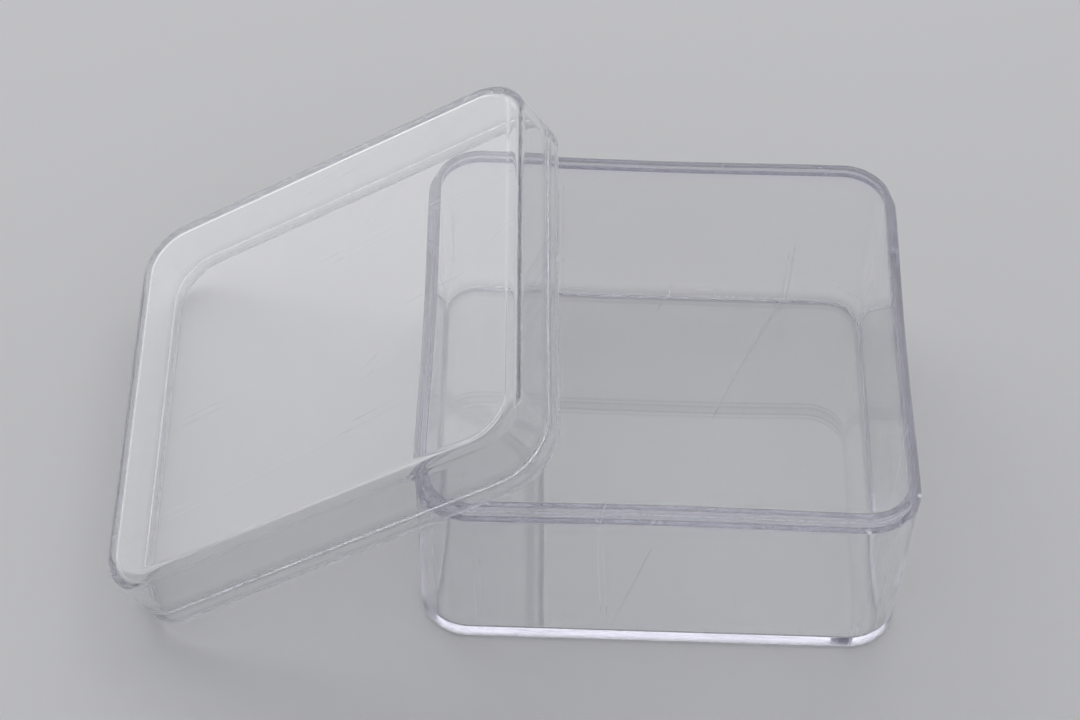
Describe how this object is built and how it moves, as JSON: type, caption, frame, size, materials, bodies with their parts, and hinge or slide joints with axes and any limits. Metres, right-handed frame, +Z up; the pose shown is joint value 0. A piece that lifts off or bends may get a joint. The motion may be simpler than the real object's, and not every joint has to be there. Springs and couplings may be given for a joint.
{
  "type": "storage box with lid",
  "caption": "Square clear plastic storage box with rounded corners and a lift-off lid that lies leaning on the open base.",
  "frame": {"origin": "centre of the base's underside, on the surface that the box stands on", "axes": "+X to the box's right, away from the leaning lid; +Y to the back; +Z up"},
  "size_m": [0.164, 0.1016, 0.0672],
  "materials": {
    "base_clear_plastic": "clear, polished, raised rim finely frosted",
    "lid_clear_plastic": "clear, polished"
  },
  "bodies": {
    "base": {"box_base": "base_clear_plastic"},
    "lid": {"lid": "lid_clear_plastic"}
  },
  "joints": [
    {"name": "lid_lift", "type": "slide", "parent": "base", "child": "lid", "axis": [0, 0, 1], "range_m": [0, 0.1]}
  ]
}
